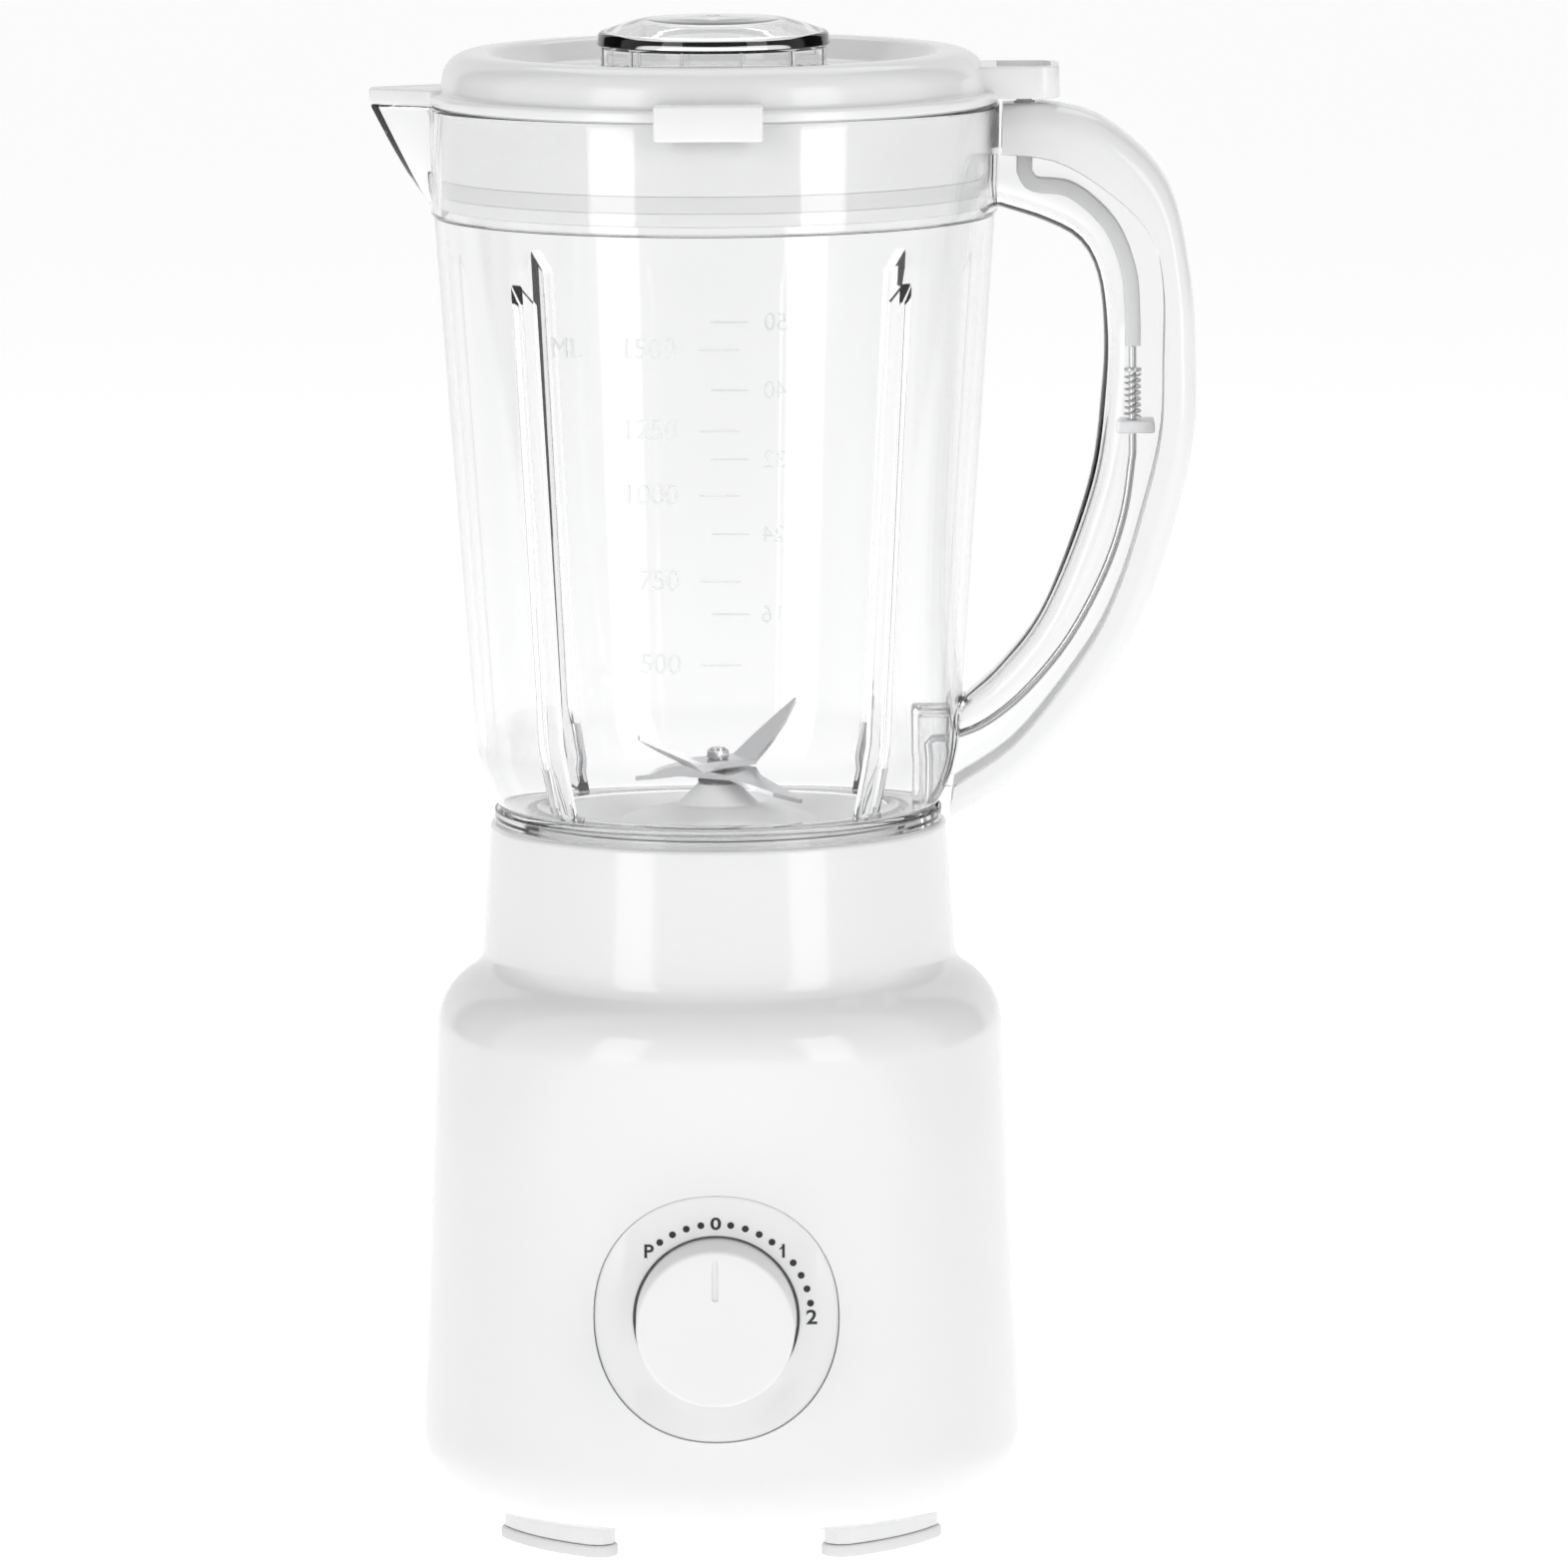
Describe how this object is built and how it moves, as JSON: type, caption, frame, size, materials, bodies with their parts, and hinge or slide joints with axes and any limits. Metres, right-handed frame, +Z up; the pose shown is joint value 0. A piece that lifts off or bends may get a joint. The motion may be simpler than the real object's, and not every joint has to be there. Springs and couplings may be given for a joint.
{
  "type": "countertop blender",
  "caption": "White countertop blender: motor base with a round speed knob, clear jar with spout, handle and blades, white lid and clear measuring cup.",
  "frame": {"origin": "centre of the bounding box in plan, at the underside of the foot pads", "axes": "+Z up along the motor shaft, -Y towards the speed knob, +X towards the handle"},
  "size_m": [0.2089, 0.1604, 0.387],
  "materials": {
    "gloss_white_plastic": "glossy moulded white",
    "satin_white_plastic": "satin moulded white",
    "clear_plastic": "clear colourless moulding",
    "grey_rubber": "matte soft rubber",
    "dark_plastic": "matte dark moulding",
    "stainless_steel": "satin steel",
    "brass": "turned",
    "cast_alloy": "as cast",
    "laminated_iron": "stacked sheets",
    "copper_wire": "enamelled winding",
    "carbon": "pressed carbon"
  },
  "bodies": {
    "base": {"base_housing": "gloss_white_plastic", "bottom_cover": "satin_white_plastic", "foot_pad_rear_right": "grey_rubber", "foot_pad_rear_left": "grey_rubber", "foot_pad_front_left": "grey_rubber", "foot_pad_front_right": "grey_rubber", "base_screw_rear_right": "stainless_steel", "base_screw_rear_left": "stainless_steel", "base_screw_front_left": "stainless_steel", "base_screw_front_right": "stainless_steel", "cord_gland": "dark_plastic", "control_panel": "gloss_white_plastic", "speed_switch": "dark_plastic", "motor_bracket_lower": "cast_alloy", "motor_bracket_upper": "cast_alloy", "bearing_lower": "stainless_steel", "bearing_upper": "stainless_steel", "stator_core": "laminated_iron", "field_coil_right": "copper_wire", "field_coil_left": "copper_wire", "brush_holder_right": "dark_plastic", "brush_holder_left": "dark_plastic", "carbon_brush_right": "carbon", "carbon_brush_left": "carbon", "motor_bolt_1": "stainless_steel", "motor_bolt_2": "stainless_steel", "motor_bolt_3": "stainless_steel", "motor_bolt_4": "stainless_steel", "interlock_microswitch": "dark_plastic"},
    "rotor": {"motor_shaft": "stainless_steel", "armature_core": "laminated_iron", "armature_winding_lower": "copper_wire", "armature_winding_upper": "copper_wire", "commutator": "copper_wire", "cooling_fan": "dark_plastic", "drive_coupling": "dark_plastic"},
    "knob": {"speed_knob": "gloss_white_plastic", "switch_shaft": "brass"},
    "base_pin": {"base_interlock_pin": "satin_white_plastic"},
    "jar": {"jar": "clear_plastic", "handle_cover": "satin_white_plastic", "blade_holder": "satin_white_plastic", "holder_gasket": "grey_rubber", "spindle_bush": "brass", "spring_bracket": "satin_white_plastic"},
    "blades": {"spindle": "stainless_steel", "blade_lower": "stainless_steel", "blade_upper": "stainless_steel", "blade_washer": "dark_plastic", "blade_nut": "stainless_steel", "driven_coupling": "dark_plastic"},
    "interlock": {"interlock_rod": "satin_white_plastic", "interlock_link": "stainless_steel", "interlock_spring": "stainless_steel"},
    "lid": {"lid": "satin_white_plastic", "lid_gasket": "grey_rubber"},
    "cup": {"measuring_cup": "clear_plastic"}
  },
  "joints": [
    {"name": "knob_turn", "type": "hinge", "parent": "base", "child": "knob", "pos_m": [-0.01728, -0.06644, 0.0655], "axis": [0, 1, 0], "range_deg": [-45, 90]},
    {"name": "motor_spin", "type": "hinge", "parent": "base", "child": "rotor", "pos_m": [-0.01728, 0.00356, 0.09], "axis": [0, 0, 1], "continuous": true},
    {"name": "base_pin_press", "type": "slide", "parent": "base", "child": "base_pin", "axis": [0, 0, 1], "range_m": [-0.0025, 0]},
    {"name": "jar_lift", "type": "slide", "parent": "base", "child": "jar", "axis": [0, 0, 1], "range_m": [0, 0.06]},
    {"name": "blade_spin", "type": "hinge", "parent": "jar", "child": "blades", "pos_m": [-0.01728, 0.00356, 0.18], "axis": [0, 0, 1], "continuous": true},
    {"name": "interlock_press", "type": "slide", "parent": "jar", "child": "interlock", "axis": [0, 0, 1], "range_m": [-0.0025, 0], "stiffness_N_per_m": 300, "springref_m": 0.003, "deforming": ["interlock_spring"]},
    {"name": "lid_lift", "type": "slide", "parent": "jar", "child": "lid", "axis": [0, 0, 1], "range_m": [0, 0.06]},
    {"name": "cup_lift", "type": "slide", "parent": "lid", "child": "cup", "axis": [0, 0, 1], "range_m": [0, 0.04]}
  ],
  "couplings": [
    {"joint": "blade_spin", "follows": "motor_spin", "ratio": 1},
    {"joint": "base_pin_press", "follows": "interlock_press", "ratio": 1}
  ]
}
